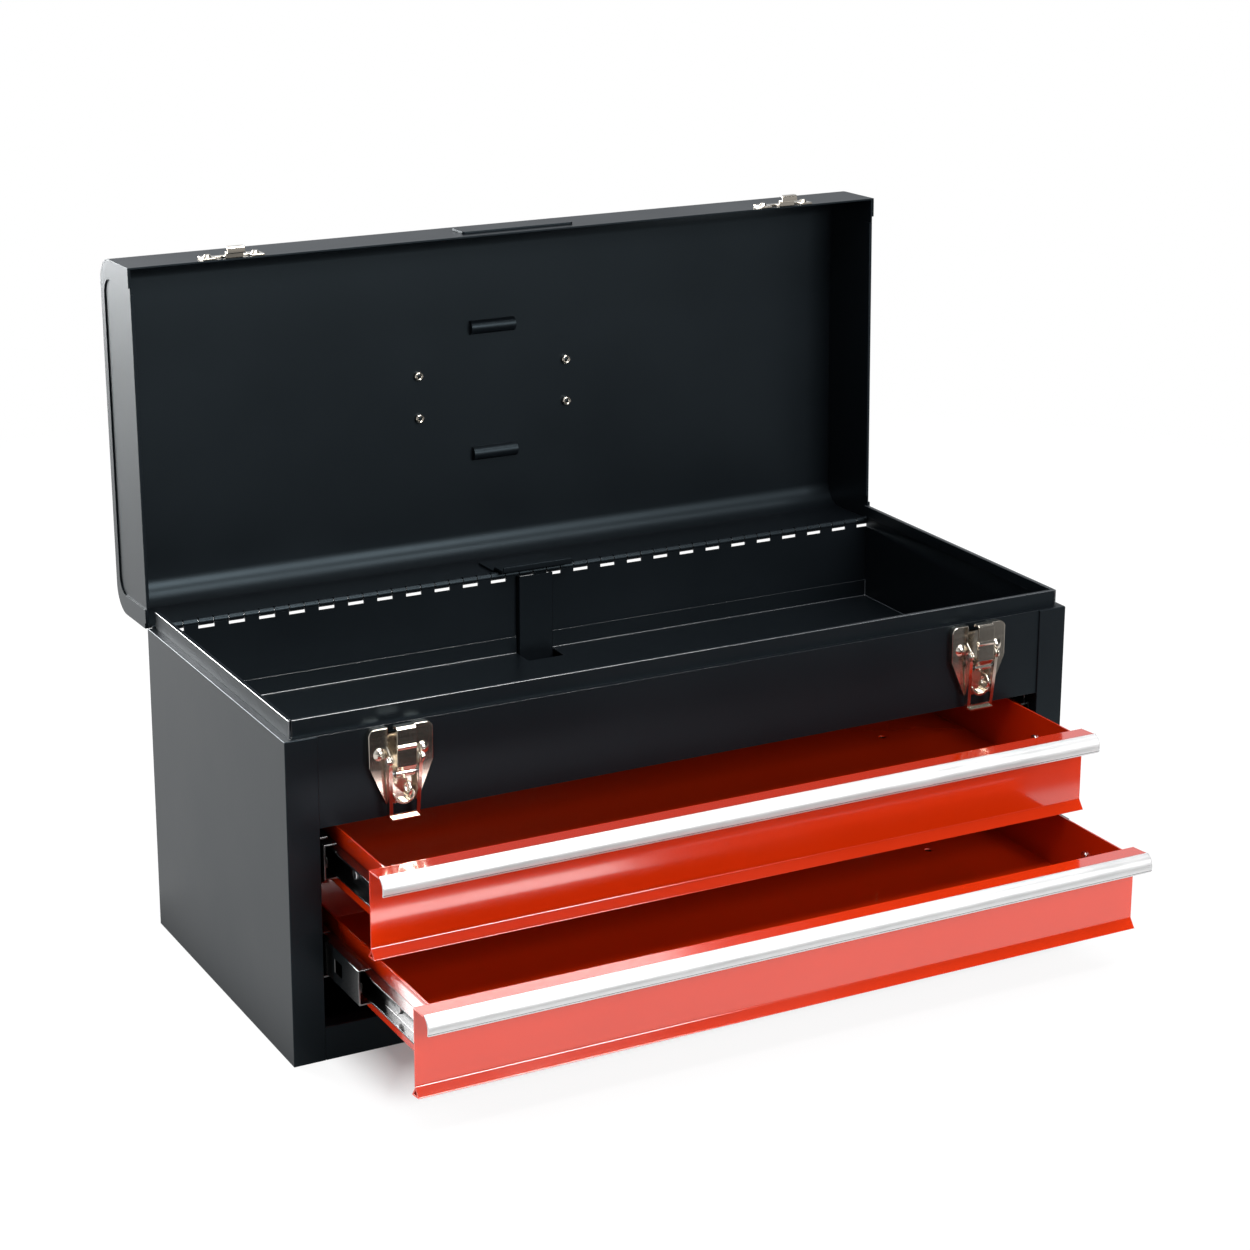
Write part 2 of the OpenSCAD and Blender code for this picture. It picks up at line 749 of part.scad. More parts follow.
module badge_plate() {
    color(BLACK) lid_pose() translate([0, -lid_l, lid_bottom + 8]) rotate([90, 0, 0])
        linear_extrude(1.5) {
            translate([-badge_l / 2 + 2, 0]) square([badge_l - 4, badge_w]);
            translate([-badge_l / 2, 2]) square([badge_l, badge_w - 4]);
            for (x = [-1, 1], z = [2, badge_w - 2]) translate([x * (badge_l / 2 - 2), z]) circle(2);
        }
}

// ---------- carrying handle ----------

module handle_bracket(side) {
    r = rod_d / 2 + 0.1;
    color(NICKEL) lid_pose() translate([side * bracket_pitch / 2, -lid_mid, lid_top]) difference() {
        union() {
            block([-bracket_w / 2, -bracket_l / 2, 0], [bracket_w / 2, bracket_l / 2, latch_t]);
            translate([0, 0, pivot_h]) rod_x(-bracket_w / 2, bracket_w / 2, r + latch_t);
            block([-bracket_w / 2, -r - latch_t, 0], [bracket_w / 2, r + latch_t, pivot_h]);
        }
        translate([0, 0, pivot_h]) rod_x(-bracket_w, bracket_w, r);
        for (s = [-1, 1])
            translate([0, s * bracket_rivets / 2, -1]) cylinder(h = 4, r = rivet_shank + pin_gap);
    }
}

// The handle lies folded towards the hinge; its pivot is the origin here
module bail_pose() {
    lid_pose() translate([0, -lid_mid, lid_top + pivot_h]) rotate([fold_angle, 0, 0]) children();
}

module handle_bail() {
    end_x = bracket_pitch / 2 + bracket_w / 2 + 1;
    color(NICKEL) bail_pose() {
        for (side = [LEFT, RIGHT]) on_side(side) {
            rod_x(bail_x, end_x, rod_d / 2);
            translate([bail_x, 0, 0]) sphere(d = rod_d);
            translate([bail_x, 0, 0]) rotate([-90, 0, 0]) cylinder(h = handle_reach, r = rod_d / 2);
            translate([bail_x, handle_reach, 0]) sphere(d = rod_d);
            rod_x(end_x, end_x + 1.2, rod_d / 2 + 1);
        }
        translate([0, handle_reach, 0]) rod_x(-bail_x, bail_x, rod_d / 2);
    }
}

module handle_grip() {
    color("#1d1e20") bail_pose() translate([0, handle_reach, 0]) difference() {
        union() {
            rod_x(-grip_l / 2 + 2, grip_l / 2 - 2, grip_d / 2);
            rod_x(-grip_l / 2, grip_l / 2, grip_d / 2 - 2);
        }
        rod_x(-grip_l, grip_l, rod_d / 2 + pin_gap);
    }
}

// ---------- latches ----------

// Turns points (outwards from the fascia, z) into the (y, z) of the body
function out_z(points) = [for (p = points) [fascia_y - p[0], p[1]]];

// Outline of a latch base in (x, z), moved in by some distance
module base_outline(inset) {
    half = latch_w / 2 - inset;
    low_half = latch_low_w / 2 - inset;
    top = latch_top - inset;
    wide_low = latch_top - latch_top_h;
    low = latch_low + inset;
    r = latch_corner_r - inset;
    translate([-half, wide_low]) square([2 * half, latch_top_h - inset - r]);
    translate([-half + r, wide_low]) square([2 * (half - r), top - wide_low]);
    for (x = [-1, 1]) translate([x * (half - r), top - r]) circle(r);
    polygon([[-half, wide_low], [-low_half, low], [low_half, low], [half, wide_low]]);
}

module latch_base(side) {
    face = latch_d - latch_t;
    y1 = fascia_y - latch_d;
    channel_low = eye_z + eye_r + 1;
    notch_low = latch_top - latch_notch_h;
    color(NICKEL) translate([side * latch_x, 0, 0]) difference() {
        union() {
            difference() {
                translate([0, fascia_y, 0]) rotate([90, 0, 0]) linear_extrude(latch_d) base_outline(0);
                translate([0, fascia_y + 1, 0]) rotate([90, 0, 0])
                    linear_extrude(face + 1) base_outline(latch_t);
                // Notch for the striker's hook, and the channel the claw runs in
                block([-latch_notch_w / 2, y1 - 1, notch_low],
                    [latch_notch_w / 2, fascia_y + 1, latch_top + 1]);
                block([-ear_x, y1 - 1, channel_low], [ear_x, fascia_y + 1, notch_low + 1]);
            }
            // Floor, foot and walls of that channel
            block([-ear_x - ear_t, fascia_y - ear_t, channel_low - ear_t],
                [ear_x + ear_t, fascia_y, notch_low]);
            block([-ear_x - ear_t, y1, channel_low - ear_t], [ear_x + ear_t, fascia_y, channel_low]);
            for (s = [LEFT, RIGHT]) on_side(s) along_x(ear_x, ear_x + ear_t) {
                polygon(out_z([
                    [0, channel_low - ear_t], [latch_d, channel_low - ear_t], [latch_d, lever_z - 6],
                    [lever_o, lever_z - 3], [lever_o, lever_z + 3], [latch_d, lever_z + 7],
                    [latch_d, notch_low], [0, notch_low]
                ]));
                translate([fascia_y - lever_o, lever_z]) circle(ear_r);
            }
            // Half-round wall under the padlock eye
            translate([0, fascia_y, latch_low + lobe_r]) rotate([90, 0, 0])
                linear_extrude(lobe_d) difference() {
                    circle(lobe_r);
                    circle(lobe_r - latch_t);
                    translate([-lobe_r, 0]) square([2 * lobe_r, lobe_r]);
                }
            // Padlock eye, standing out through the lever's window
            along_x(-eye_t / 2, eye_t / 2) {
                polygon(out_z([[face, eye_z - eye_r], [eye_o, eye_z - eye_r], [eye_o, eye_z + eye_r],
                    [face, eye_z + eye_r]]));
                translate([fascia_y - eye_o, eye_z]) circle(eye_r);
            }
        }
        translate([0, fascia_y - lever_o, lever_z]) rod_x(-latch_w, latch_w, pivot_r + pin_gap);
        translate([0, fascia_y - eye_o, eye_z]) rod_x(-eye_t, eye_t, padlock_r);
        for (s = [-1, 1]) translate([s * latch_rivet_x, fascia_y, latch_rivet_z]) rotate([90, 0, 0])
            cylinder(h = 3 * latch_d, r = latch_shank_r + pin_gap, center = true);
    }
}

module latch_rivets() {
    back_head = 1.2;
    ball = (latch_rivet_r * latch_rivet_r + latch_dome * latch_dome) / 2 / latch_dome;
    color(NICKEL) at_latch_rivets() {
        translate([0, 0, -sheet - back_head]) cylinder(h = back_head, r = latch_rivet_r - 0.5);
        translate([0, 0, -sheet - back_head]) cylinder(h = sheet + back_head + latch_d, r = latch_shank_r);
        intersection() {
            translate([0, 0, latch_d + latch_dome - ball]) sphere(ball);
            translate([0, 0, latch_d]) cylinder(h = latch_dome, r = latch_rivet_r);
        }
    }
}

module latch_pivots() {
    color(SILVER) for (side = [LEFT, RIGHT], s = [LEFT, RIGHT])
        translate([side * latch_x, fascia_y - lever_o, lever_z]) on_side(s) {
            rod_x(ear_x - 0.3, arm_x + arm_t + 0.8, pivot_r);
            rod_x(arm_x + arm_t + 0.15, arm_x + arm_t + 0.8, pivot_r + 0.8);
        }
}

// A tapered lever frame: side walls, a face with a window, and a foot to pull on
module latch_lever(side) {
    top = lever_w / 2;
    foot = lever_foot_w / 2;
    low = -lever_l;
    ear_room = ear_x + ear_t + 0.2;
    color(NICKEL) translate([side * latch_x, 0, 0]) difference() {
        union() {
            translate([0, fascia_y - lever_o, lever_z]) rotate([lever_tilt, 0, 0]) {
                translate([0, lever_wall, 0]) rotate([90, 0, 0]) linear_extrude(lever_wall + lever_face)
                    for (s = [-1, 1]) polygon([
                        [s * top, 0], [s * foot, low],
                        [s * (foot - arm_t), low], [s * (top - arm_t), 0]
                    ]);
                translate([0, arm_t - lever_face, 0]) rotate([90, 0, 0])
                    linear_extrude(arm_t) difference() {
                        polygon([[-top, 0], [-foot, low], [foot, low], [top, 0]]);
                        polygon([[-top + lever_rail, 1], [-foot + lever_rail, low + lever_foot_h],
                            [foot - lever_rail, low + lever_foot_h], [top - lever_rail, 1]]);
                    }
                block([-foot + arm_t, -lever_face - lever_lip, low],
                    [foot - arm_t, -lever_face + eps, low + arm_t]);
                for (s = [LEFT, RIGHT]) on_side(s) rod_x(arm_x, arm_x + arm_t, lever_r);
            }
            translate([0, fascia_y - claw_o, claw_z]) rod_x(-arm_x - 0.2, arm_x + 0.2, claw_pin_r);
        }
        translate([0, fascia_y - lever_o, lever_z]) rod_x(-lever_w, lever_w, pivot_r + pin_gap);
        // Room for the base's ears to stand inside the frame
        translate([0, fascia_y - lever_o, lever_z]) rod_x(-ear_room, ear_room, ear_r + ear_gap);
    }
}

module latch_claw(side) {
    t = latch_t;
    tip = hook_lip + 0.6;
    back = claw_face - t;
    color(NICKEL) translate([side * latch_x, 0, 0]) difference() {
        union() {
            along_x(-claw_w / 2, claw_w / 2) polygon(out_z([
                [claw_o + 0.4, claw_z + 2.2], [claw_o + 1.8, claw_z + 1.2], [claw_face, claw_plate_z],
                [claw_face, claw_top - t], [back, claw_top], [tip, claw_top], [tip, claw_top - 2],
                [tip + 0.9, claw_top - 2], [tip + 0.9, claw_top - t], [back, claw_top - t],
                [back, claw_plate_z + 0.6]
            ]));
            translate([0, fascia_y - claw_o, claw_z]) rod_x(-claw_w / 2, claw_w / 2, claw_pin_r + 1.1);
            translate([0, fascia_y - claw_face + 0.8, claw_roll_z])
                rod_x(-claw_w / 2, claw_w / 2, claw_roll_r);
        }
        translate([0, fascia_y - claw_o, claw_z]) rod_x(-claw_w, claw_w, claw_pin_r + pin_gap);
    }
}

// ---------- drawer lock ----------

// Height of the tooth's foot over a drawer, with the lock open
function tooth_z(top) = top - box_h + tab_z + sheet + 0.5 + bar_travel;

module lock_bar() {
    half = bar_w / 2;
    color(BLACK) {
        block([-half, bar_front, bar_low], [half, bar_front + sheet, bar_top]);
        for (s = [LEFT, RIGHT]) on_side(s)
            block([half - sheet, bar_front, bar_low], [half, bar_front + bar_d, bar_top]);
        block([-half, bar_front - 2, bar_low], [half, bar_front + bar_d, bar_low + sheet]);
        for (top = [upper_top, lower_top]) {
            z = tooth_z(top);
            block([-tab_w / 2, tooth_y, z + 4], [tab_w / 2, bar_front + eps, z + 4 + tooth_t]);
            block([-tab_w / 2, tooth_y, z], [tab_w / 2, tooth_y + tooth_t, z + 4 + tooth_t]);
        }
    }
}

module lock_bar_guides() {
    inner = bar_w / 2 + guide_gap;
    wall = back_y - sheet;
    face = bar_front - guide_gap;
    between = (tooth_z(upper_top) - bar_travel + tooth_z(lower_top) + 4 + tooth_t) / 2;
    color(ZINC) for (z = [bar_low + guide_up, between - guide_h / 2]) {
        block([-inner - guide_t, face - guide_t, z], [inner + guide_t, face, z + guide_h]);
        for (s = [LEFT, RIGHT]) on_side(s) {
            block([inner, face - guide_t, z], [inner + guide_t, wall, z + guide_h]);
            block([inner, wall - guide_t, z], [inner + guide_foot, wall, z + guide_h]);
        }
    }
}

// Point k of ring i around the spring's wire
function spring_point(i, k, steps, sides, z0, z1) =
    let (a = 360 * i / steps, b = 360 * k / sides,
        rr = spring_r + spring_wire / 2 * cos(b),
        lift = z0 + spring_wire / 2 + (z1 - z0 - spring_wire) * i / (steps * spring_turns))
    [rr * cos(a), rr * sin(a), lift + spring_wire / 2 * sin(b)];

module lock_spring() {
    steps = 12;
    sides = 8;
    rings = steps * spring_turns;
    z0 = sheet;
    z1 = bar_low - 0.05;
    color(SILVER) translate([0, back_y - sheet - spring_r - spring_wire, 0]) polyhedron(
        points = [for (i = [0 : rings], k = [0 : sides - 1]) spring_point(i, k, steps, sides, z0, z1)],
        faces = concat(
            [[for (k = [0 : sides - 1]) k]],
            [[for (k = [sides - 1 : -1 : 0]) rings * sides + k]],
            [for (i = [0 : rings - 1], k = [0 : sides - 1])
                [i * sides + k, (i + 1) * sides + k,
                    (i + 1) * sides + (k + 1) % sides, i * sides + (k + 1) % sides]]
        )
    );
}

module lock_push_plate() {
    wall = -sheet / 2;
    out = -push_jog - push_t;
    color(BLACK) lid_pose() along_x(-push_w / 2, push_w / 2) polygon([
        [wall, push_tail], [wall - push_t, push_tail],
        [wall - push_t, knuckle_r + 3.4], [out, knuckle_r + 1.4],
        [out, -push_l + 1.2], [out - 2.5, -push_l + 1.2], [out - 2.5, -push_l], [-push_jog, -push_l],
        [-push_jog, knuckle_r + 0.7], [wall, knuckle_r + 2.4]
    ]);
}

// ---------- the assembly ----------

side_panel(LEFT);  // left_side
side_panel(RIGHT);  // right_side
back_panel();
bottom_panel();
front_sill();
fascia();
tote_tray();
slide_bracket(LEFT);  // slide_bracket_left
slide_bracket(RIGHT);  // slide_bracket_right
hinge_pin();
cabinet_rail(LEFT, upper_top);  // upper_cabinet_rail_left
cabinet_rail(RIGHT, upper_top);  // upper_cabinet_rail_right
cabinet_rail(LEFT, lower_top);  // lower_cabinet_rail_left
cabinet_rail(RIGHT, lower_top);  // lower_cabinet_rail_right
latch_base(LEFT);  // latch_base_left
latch_base(RIGHT);  // latch_base_right
latch_rivets();
latch_pivots();
lock_bar_guides();
lock_spring();
lid_shell();
lid_end(LEFT);  // lid_end_left
lid_end(RIGHT);  // lid_end_right
striker(LEFT);  // striker_left
striker(RIGHT);  // striker_right
lid_rivets();
badge_plate();
handle_bracket(LEFT);  // handle_bracket_left
handle_bracket(RIGHT);  // handle_bracket_right
lock_push_plate();
handle_bail();
handle_grip();
drawer_box(upper_top, upper_out);  // upper_drawer_box
drawer_front(upper_top, upper_out);  // upper_drawer_front
drawer_pull(upper_top, upper_out);  // upper_drawer_pull
drawer_rail(LEFT, upper_top, upper_out);  // upper_drawer_rail_left
drawer_rail(RIGHT, upper_top, upper_out);  // upper_drawer_rail_right
drawer_screws(upper_top, upper_out);  // upper_drawer_screws
drawer_box(lower_top, lower_out);  // lower_drawer_box
drawer_front(lower_top, lower_out);  // lower_drawer_front
drawer_pull(lower_top, lower_out);  // lower_drawer_pull
drawer_rail(LEFT, lower_top, lower_out);  // lower_drawer_rail_left
drawer_rail(RIGHT, lower_top, lower_out);  // lower_drawer_rail_right
drawer_screws(lower_top, lower_out);  // lower_drawer_screws
middle_rail(LEFT, upper_top, upper_mid_out);  // upper_middle_rail_left
middle_rail(RIGHT, upper_top, upper_mid_out);  // upper_middle_rail_right
middle_rail(LEFT, lower_top, lower_mid_out);  // lower_middle_rail_left
middle_rail(RIGHT, lower_top, lower_mid_out);  // lower_middle_rail_right
inner_balls(upper_top, upper_out, upper_mid_out);  // upper_inner_balls
outer_balls(upper_top, upper_mid_out);  // upper_outer_balls
inner_balls(lower_top, lower_out, lower_mid_out);  // lower_inner_balls
outer_balls(lower_top, lower_mid_out);  // lower_outer_balls
lock_bar();
latch_lever(LEFT);  // latch_lever_left
latch_lever(RIGHT);  // latch_lever_right
latch_claw(LEFT);  // latch_claw_left
latch_claw(RIGHT);  // latch_claw_right
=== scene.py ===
# Dresses the tool box for its studio picture
import json
import math
import bpy
import bmesh
from mathutils import Matrix, Vector


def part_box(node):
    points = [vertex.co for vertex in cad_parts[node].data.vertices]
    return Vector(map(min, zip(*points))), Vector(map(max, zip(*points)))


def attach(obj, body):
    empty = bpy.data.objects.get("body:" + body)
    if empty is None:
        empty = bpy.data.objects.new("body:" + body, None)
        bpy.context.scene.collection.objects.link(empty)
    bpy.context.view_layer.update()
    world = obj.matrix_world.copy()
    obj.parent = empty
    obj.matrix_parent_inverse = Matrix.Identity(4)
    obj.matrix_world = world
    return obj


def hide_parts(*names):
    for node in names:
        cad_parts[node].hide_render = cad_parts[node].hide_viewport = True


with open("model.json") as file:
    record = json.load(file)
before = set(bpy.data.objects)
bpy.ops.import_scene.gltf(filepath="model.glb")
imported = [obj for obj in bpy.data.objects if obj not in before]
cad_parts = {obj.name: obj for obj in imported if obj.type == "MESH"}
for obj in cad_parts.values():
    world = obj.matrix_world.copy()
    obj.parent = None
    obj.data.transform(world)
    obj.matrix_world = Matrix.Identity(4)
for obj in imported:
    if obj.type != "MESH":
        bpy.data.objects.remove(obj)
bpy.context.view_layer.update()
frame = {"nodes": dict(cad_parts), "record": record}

nodes = frame["nodes"]
print("loaded", len(nodes), "nodes")


# Shared effects, as node groups
def newGroup(name, inputs, outputs):
    group = bpy.data.node_groups.new(name, "ShaderNodeTree")
    for label, kind, value in inputs:
        socket = group.interface.new_socket(label, in_out="INPUT", socket_type=kind)
        if value is not None:
            socket.default_value = value
    for label, kind in outputs:
        group.interface.new_socket(label, in_out="OUTPUT", socket_type=kind)
    start = group.nodes.new("NodeGroupInput")
    end = group.nodes.new("NodeGroupOutput")
    return group, start.outputs, end.inputs


def feed(tree, value, socket):
    # A number sets the socket and an output is linked to it
    if isinstance(value, (int, float)):
        socket.default_value = value
    else:
        tree.links.new(value, socket)


def addNoise(tree, vector, scale, detail, roughness=0.5):
    noise = tree.nodes.new("ShaderNodeTexNoise")
    feed(tree, vector, noise.inputs["Vector"])
    feed(tree, scale, noise.inputs["Scale"])
    feed(tree, detail, noise.inputs["Detail"])
    feed(tree, roughness, noise.inputs["Roughness"])
    return noise.outputs["Fac"]


def addRange(tree, value, low, high, toLow, toHigh):
    node = tree.nodes.new("ShaderNodeMapRange")
    feed(tree, value, node.inputs["Value"])
    feed(tree, low, node.inputs["From Min"])
    feed(tree, high, node.inputs["From Max"])
    feed(tree, toLow, node.inputs["To Min"])
    feed(tree, toHigh, node.inputs["To Max"])
    return node.outputs["Result"]


def addMath(tree, operation, a, b):
    node = tree.nodes.new("ShaderNodeMath")
    node.operation = operation
    feed(tree, a, node.inputs[0])
    feed(tree, b, node.inputs[1])
    return node.outputs[0]


def highest(tree, first, *others):
    for other in others:
        first = addMath(tree, "MAXIMUM", first, other)
    return first


def addTone(tree, factor, dark, light):
    mix = tree.nodes.new("ShaderNodeMix")
    mix.data_type = "RGBA"
    colours = [socket for socket in mix.inputs if socket.type == "RGBA"]
    tree.links.new(factor, mix.inputs["Factor"])
    tree.links.new(dark, colours[0])
    tree.links.new(light, colours[1])
    return [socket for socket in mix.outputs if socket.type == "RGBA"][0]


effectOutputs = [
    ("Color", "NodeSocketColor"), ("Roughness", "NodeSocketFloat"), ("Height", "NodeSocketFloat"),
]
paint = {"cloudDetail": 3.0, "peelDetail": 2.0, "glossFrom": (0.3, 0.7)}
metal = {
    "stretch": (0.03, 1, 1), "grainDetail": 3.0, "grainRough": 0.6, "patchDetail": 3.0,
    "glossFrom": (0.35, 0.65),
}


def paintGroup():
    # Sprayed coat: fine orange peel, slow clouds in the gloss and a hint of tone
    group, given, result = newGroup("sprayedCoat", [
        ("Vector", "NodeSocketVector", None),
        ("Peel Scale", "NodeSocketFloat", 900.0),
        ("Cloud Scale", "NodeSocketFloat", 9.0),
        ("Gloss Low", "NodeSocketFloat", 0.3),
        ("Gloss High", "NodeSocketFloat", 0.42),
        ("Dark", "NodeSocketColor", (0.02, 0.02, 0.02, 1)),
        ("Light", "NodeSocketColor", (0.03, 0.03, 0.03, 1))], effectOutputs)
    cloud = addNoise(group, given["Vector"], given["Cloud Scale"], paint["cloudDetail"])
    peel = addNoise(group, given["Vector"], given["Peel Scale"], paint["peelDetail"])
    gloss = addRange(group, cloud, *paint["glossFrom"], given["Gloss Low"], given["Gloss High"])
    group.links.new(gloss, result["Roughness"])
    group.links.new(addTone(group, cloud, given["Dark"], given["Light"]), result["Color"])
    group.links.new(peel, result["Height"])
    return group


def metalGroup():
    # Plated or drawn metal: long fine scratches along X and soft patches
    group, given, result = newGroup("drawnGrain", [
        ("Vector", "NodeSocketVector", None),
        ("Grain Scale", "NodeSocketFloat", 900.0),
        ("Patch Scale", "NodeSocketFloat", 30.0),
        ("Gloss Low", "NodeSocketFloat", 0.18),
        ("Gloss High", "NodeSocketFloat", 0.32),
        ("Dark", "NodeSocketColor", (0.5, 0.5, 0.5, 1)),
        ("Light", "NodeSocketColor", (0.7, 0.7, 0.7, 1))], effectOutputs)
    stretch = group.nodes.new("ShaderNodeMapping")
    stretch.inputs["Scale"].default_value = metal["stretch"]
    group.links.new(given["Vector"], stretch.inputs["Vector"])
    stretched = stretch.outputs["Vector"]
    grain = addNoise(group, stretched, given["Grain Scale"], metal["grainDetail"], metal["grainRough"])
    patch = addNoise(group, given["Vector"], given["Patch Scale"], metal["patchDetail"])
    middle = addMath(group, "MULTIPLY", addMath(group, "ADD", grain, patch), 0.5)
    gloss = addRange(group, middle, *metal["glossFrom"], given["Gloss Low"], given["Gloss High"])
    group.links.new(gloss, result["Roughness"])
    group.links.new(addTone(group, patch, given["Dark"], given["Light"]), result["Color"])
    group.links.new(grain, result["Height"])
    return group


sprayedCoat = paintGroup()
drawnGrain = metalGroup()
bumpDistance = 0.0002
plainShader = {
    "Metallic": 0.0, "Coat Weight": 0.0, "Coat Roughness": 0.1, "Coat IOR": 1.5,
    "Specular IOR Level": 0.5, "Specular Tint": (1, 1, 1, 1),
}


def makeMaterial(name, group, effectValues, bump, shaderValues):
    material = bpy.data.materials.new(name)
    material.use_nodes = True
    tree = material.node_tree
    shader = tree.nodes["Principled BSDF"]
    coords = tree.nodes.new("ShaderNodeTexCoord")
    effect = tree.nodes.new("ShaderNodeGroup")
    effect.node_tree = group
    tree.links.new(coords.outputs["Object"], effect.inputs["Vector"])
    for label, value in effectValues.items():
        effect.inputs[label].default_value = value
    for label, value in {**plainShader, **shaderValues}.items():
        shader.inputs[label].default_value = value
    node = tree.nodes.new("ShaderNodeBump")
    node.inputs["Strength"].default_value = bump
    node.inputs["Distance"].default_value = bumpDistance
    tree.links.new(effect.outputs["Height"], node.inputs["Height"])
    tree.links.new(effect.outputs["Color"], shader.inputs["Base Color"])
    tree.links.new(effect.outputs["Roughness"], shader.inputs["Roughness"])
    tree.links.new(node.outputs["Normal"], shader.inputs["Normal"])
    return material


def grey(level):
    return (level, level, level, 1)


# Each finish: its effect, the effect's values, the bump and the shader's own values
finishTable = {
    "blackPowder": (sprayedCoat, {
        "Peel Scale": 900.0, "Cloud Scale": 11.0, "Gloss Low": 0.36, "Gloss High": 0.41,
        "Dark": (0.0018, 0.0025, 0.0034, 1), "Light": (0.0028, 0.0036, 0.0048, 1)},
        0.12, {"Specular IOR Level": 0.28, "Specular Tint": (0.68, 0.88, 1.0, 1)}),
    # The same black, much lighter and glossier: a painted highlight for the rounded edges
    "blackEdge": (sprayedCoat, {
        "Peel Scale": 900.0, "Cloud Scale": 11.0, "Gloss Low": 0.24, "Gloss High": 0.30,
        "Dark": (0.034, 0.038, 0.043, 1), "Light": (0.050, 0.056, 0.063, 1)},
        0.05, {"Specular IOR Level": 1.0, "Coat Weight": 1.0, "Coat Roughness": 0.2, "Coat IOR": 1.8}),
    "redEnamel": (sprayedCoat, {
        "Peel Scale": 500.0, "Cloud Scale": 14.0, "Gloss Low": 0.12, "Gloss High": 0.17,
        "Dark": (0.46, 0.0200, 0.0010, 1), "Light": (0.50, 0.0230, 0.0014, 1)},
        0.02, {"Coat Weight": 1.0, "Coat Roughness": 0.06, "Coat IOR": 1.68}),
    "drawnAluminium": (drawnGrain, {
        "Gloss Low": 0.34, "Gloss High": 0.44, "Dark": grey(0.62), "Light": grey(0.69)},
        0.05, {"Metallic": 0.75}),
    "brightNickel": (drawnGrain, {
        "Grain Scale": 500.0, "Gloss Low": 0.14, "Gloss High": 0.24,
        "Dark": (0.60, 0.54, 0.46, 1), "Light": (0.74, 0.69, 0.61, 1)},
        0.03, {"Metallic": 1.0}),
    "darkZinc": (drawnGrain, {
        "Gloss Low": 0.18, "Gloss High": 0.26, "Dark": grey(0.17), "Light": grey(0.22)},
        0.02, {"Metallic": 1.0}),
    "brightSteel": (drawnGrain, {
        "Gloss Low": 0.15, "Gloss High": 0.25, "Dark": grey(0.62), "Light": grey(0.74)},
        0.03, {"Metallic": 1.0}),
    "gripRubber": (sprayedCoat, {
        "Peel Scale": 700.0, "Gloss Low": 0.45, "Gloss High": 0.6,
        "Dark": (0.012, 0.012, 0.013, 1), "Light": (0.018, 0.018, 0.019, 1)},
        0.25, {}),
}
finishes = {name: makeMaterial(name, *values) for name, values in finishTable.items()}
slotFinish = {
    "black_paint": "blackPowder", "red_paint": "redEnamel", "trim": "drawnAluminium",
    "nickel": "brightNickel", "zinc": "darkZinc", "bright_steel": "brightSteel", "grip": "gripRubber",
}
slotOf = {part["node"]: part["material_slot"] for part in frame["record"]["subparts"]}
bodyOf = {node: body for body, names in frame["record"]["behaviour"]["bodies"].items() for node in names}
for name, obj in nodes.items():
    obj.data.materials.clear()
    obj.data.materials.append(finishes[slotFinish[slotOf[name]]])
print("finishes set")

angles = {"sharp": 28, "folded": 115, "flat": 0.5, "smooth": 35}  # in degrees
normalWeight = 60
mergeDistance = 0.000002


def deselectAll():
    bpy.ops.object.select_all(action="DESELECT")


def pickOnly(obj):
    deselectAll()
    obj.select_set(True)
    bpy.context.view_layer.objects.active = obj


def camelName(text):
    words = text.split("_") if "_" in text else [text, "panel"]
    return words[0] + "".join(word.capitalize() for word in words[1:])


def applyModifier(obj, kind, **values):
    modifier = obj.modifiers.new(kind.lower(), kind)
    for label, value in values.items():
        setattr(modifier, label, value)
    pickOnly(obj)
    bpy.ops.object.modifier_apply(modifier=modifier.name)


def smoothFaces(obj, angle=angles["smooth"]):
    pickOnly(obj)
    bpy.ops.object.shade_smooth_by_angle(angle=math.radians(angle))
    applyModifier(obj, "WEIGHTED_NORMAL", keep_sharp=True, weight=normalWeight)


# Sheet metal with rounded bends, in metres
sheet = {
    "bend": 0.0011,  # between two broad faces
    "hem": 0.0008,  # where the sheet folds back on itself
    "edge": 0.00025,  # along the sheet's own thickness
    "corner": 0.0006,  # across that thickness
    "thin": 0.0017,  # a face narrower than this is the sheet's own thickness
    "segments": 3,
    "worn": False,  # painted highlight: a lighter, glossier paint on what is rounded
    "clamp": True,
    "foot": 0.0,  # edges this near the lowest point, and the hollow ones, stay sharp
}


def copyNode(node):
    # A merged copy of a solid, with its flat faces made whole again
    source = nodes[node]
    obj = bpy.data.objects.new(camelName(node), source.data.copy())
    bpy.context.scene.collection.objects.link(obj)
    obj.matrix_world = source.matrix_world
    pickOnly(obj)
    bpy.ops.object.mode_set(mode="EDIT")
    bpy.ops.mesh.select_all(action="SELECT")
    bpy.ops.mesh.remove_doubles(threshold=mergeDistance)
    bpy.ops.mesh.dissolve_limited(angle_limit=math.radians(angles["flat"]))
    bpy.ops.object.mode_set(mode="OBJECT")
    return obj


def faceWidth(face):
    around = sum(edge.calc_length() for edge in face.edges)
    return 2 * face.calc_area() / around


def lowest(obj, vertices):
    return min((obj.matrix_world @ vertex.co).z for vertex in vertices)


